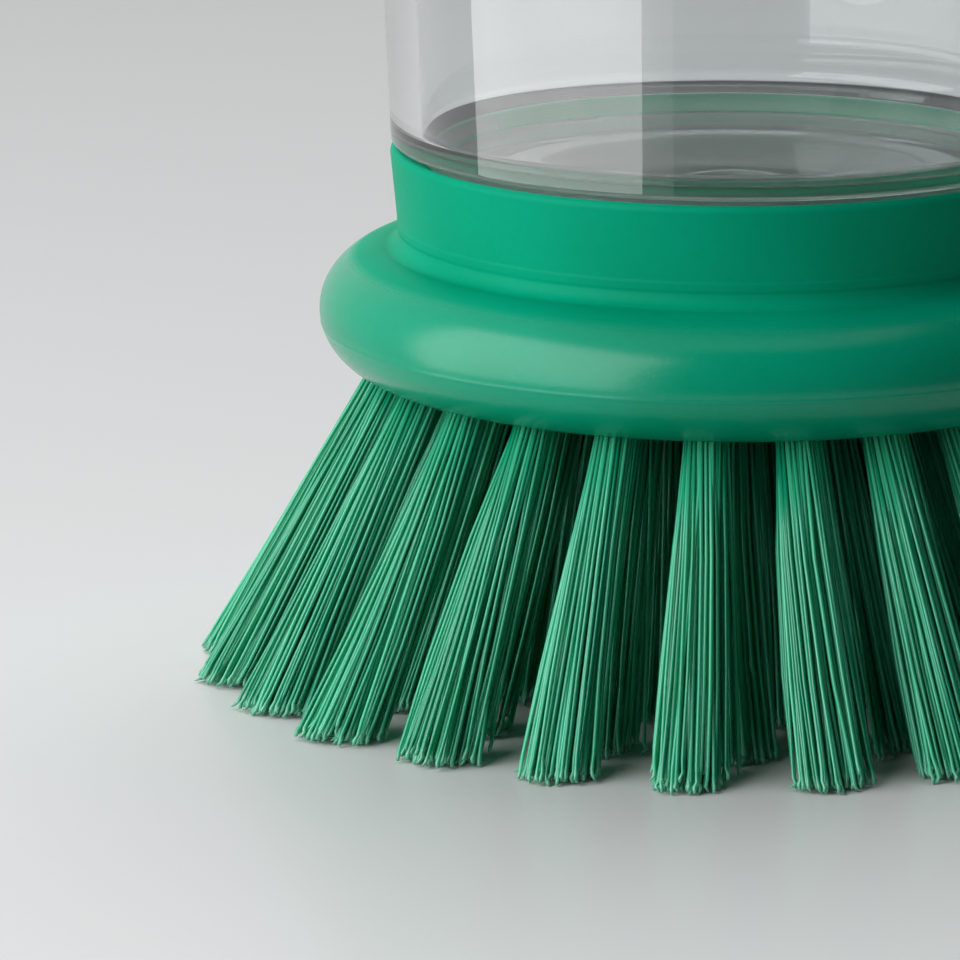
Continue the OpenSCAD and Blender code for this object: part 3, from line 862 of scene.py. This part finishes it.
class PALM_OT_stage(bpy.types.Operator):
    """Pale table and backdrop, two soft boxes, dark card, room light and camera"""

    bl_idname = "palm.stage"
    bl_label = "Build stage"

    def execute(self, context):
        scene = context.scene
        s = scene.palm_stage
        finish = floor_finish(s)
        table("table", 0.0, s.near_table, finish)
        table("sweep", s.near_table, 3.0, finish).visible_glossy = False
        soft_box("key_box", (-0.50, -0.25, 0.15), (0.0, 0.0, 0.03), (0.78, 0.96), s.key_strength)
        back = soft_box("back_box", (0.05, 0.5, 1.15), (0.0, 0.0, 0.0), (0.9, 0.8), s.back_strength)
        back.visible_transmission = back.visible_glossy = False
        black_card(start=-21, end=150, radius=0.5, low=-0.3, high=1.0)
        world = bpy.data.worlds.new("room")
        scene.world = world
        world.use_nodes = True
        world.node_tree.nodes.clear()
        room = add(world, "ShaderNodeBackground", {"Color": linear("#F2F6F8"), "Strength": s.fill_strength})
        view = add(world, "ShaderNodeBackground", {"Color": linear("#CCCCCC"), "Strength": 1.0})
        mix = add(world, "ShaderNodeMixShader", links={0: backdrop_rays(world), 1: room.outputs[0], 2: view.outputs[0]})
        add(world, "ShaderNodeOutputWorld", links={"Surface": mix.outputs[0]})
        # Focal length, place and tilt were fitted to the outlines of the rim, the bead and the tips
        lens = bpy.data.cameras.new("photo_view")
        lens.lens, lens.sensor_width = 317.5, 36.0
        camera = bpy.data.objects.new("photo_view", lens)
        scene.collection.objects.link(camera)
        camera.location = (-0.019193, -0.631657, 0.155504)
        camera.rotation_euler = (math.radians(77.395), 0, 0)
        scene.camera = camera
        scene.view_settings.view_transform = "Standard"
        return {"FINISHED"}


class PALM_PT_panel(bpy.types.Panel):
    """The brush's pieces and settings"""

    bl_idname = "PALM_PT_panel"
    bl_label = "Palm dish brush"
    bl_space_type = "VIEW_3D"
    bl_region_type = "UI"
    bl_category = "Palm Brush"

    def draw(self, context):
        for operator in OPERATORS:
            self.layout.operator(operator.bl_idname)
        for group in GROUPS:
            settings = getattr(context.scene, group)
            for key in settings.bl_rna.properties.keys():
                if key not in ("rna_type", "name"):
                    self.layout.prop(settings, key)


GROUPS = {"palm_head": PalmHeadSettings, "palm_tufts": PalmTuftSettings, "palm_stage": PalmStageSettings}
OPERATORS = (
    PALM_OT_stage, PALM_OT_head, PALM_OT_tufts, PALM_OT_tank, PALM_OT_lid, PALM_OT_button, PALM_OT_spring,
    PALM_OT_carried,
)


def register():
    for kind in (*GROUPS.values(), *OPERATORS, PALM_PT_panel):
        bpy.utils.register_class(kind)
    for name, group in GROUPS.items():
        setattr(bpy.types.Scene, name, PointerProperty(type=group))


def unregister():
    for name in GROUPS:
        delattr(bpy.types.Scene, name)
    for kind in reversed((*GROUPS.values(), *OPERATORS, PALM_PT_panel)):
        bpy.utils.unregister_class(kind)


def main():
    register()
    for operator in OPERATORS:
        group, action = operator.bl_idname.split(".")
        if getattr(getattr(bpy.ops, group), action)() != {"FINISHED"}:
            raise RuntimeError(f"{operator.bl_idname} didn't finish")


if __name__ == "__main__":
    main()
